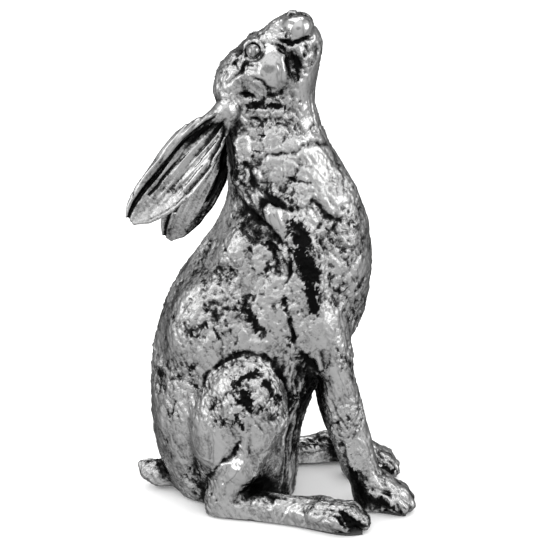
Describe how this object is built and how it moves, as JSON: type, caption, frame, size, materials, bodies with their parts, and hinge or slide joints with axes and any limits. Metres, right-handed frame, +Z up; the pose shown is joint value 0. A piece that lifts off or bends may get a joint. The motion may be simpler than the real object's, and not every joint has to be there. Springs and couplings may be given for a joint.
{
  "type": "seated hare figurine",
  "caption": "Seated hare figure looking straight up, ears laid back, long hind feet forward, textured antique silver finish, resting on felt pads.",
  "frame": {"origin": "on the ground under the centre of the figure's overall box", "axes": "+X the way the hare faces, +Y towards its left side, +Z up"},
  "size_m": [0.29, 0.214, 0.5],
  "materials": {
    "antique_silver": "bright silver plating over a hand-modelled surface, dark antique patina in the recesses, clear lacquer",
    "polished_bead": "smooth polished silver bead",
    "steel_pin": "plain drawn steel bar, cut and deburred",
    "plug_plastic": "matt black moulded plastic",
    "black_felt": "dense black self-adhesive felt"
  },
  "bodies": {
    "root": {"torso_casting": "antique_silver", "head_casting": "antique_silver", "left_ear_casting": "antique_silver", "right_ear_casting": "antique_silver", "left_foreleg_casting": "antique_silver", "right_foreleg_casting": "antique_silver", "left_hind_leg_casting": "antique_silver", "right_hind_leg_casting": "antique_silver", "tail_casting": "antique_silver", "left_eye_bead": "polished_bead", "right_eye_bead": "polished_bead", "neck_stud": "steel_pin", "neck_locating_pins": "steel_pin", "left_ear_pin": "steel_pin", "right_ear_pin": "steel_pin", "left_foreleg_rod": "steel_pin", "right_foreleg_rod": "steel_pin", "left_haunch_pins": "steel_pin", "right_haunch_pins": "steel_pin", "tail_pin": "steel_pin", "base_plug": "plug_plastic", "torso_base_pad": "black_felt", "left_hind_foot_pad": "black_felt", "right_hind_foot_pad": "black_felt", "left_fore_paw_pad": "black_felt", "right_fore_paw_pad": "black_felt"}
  },
  "joints": []
}
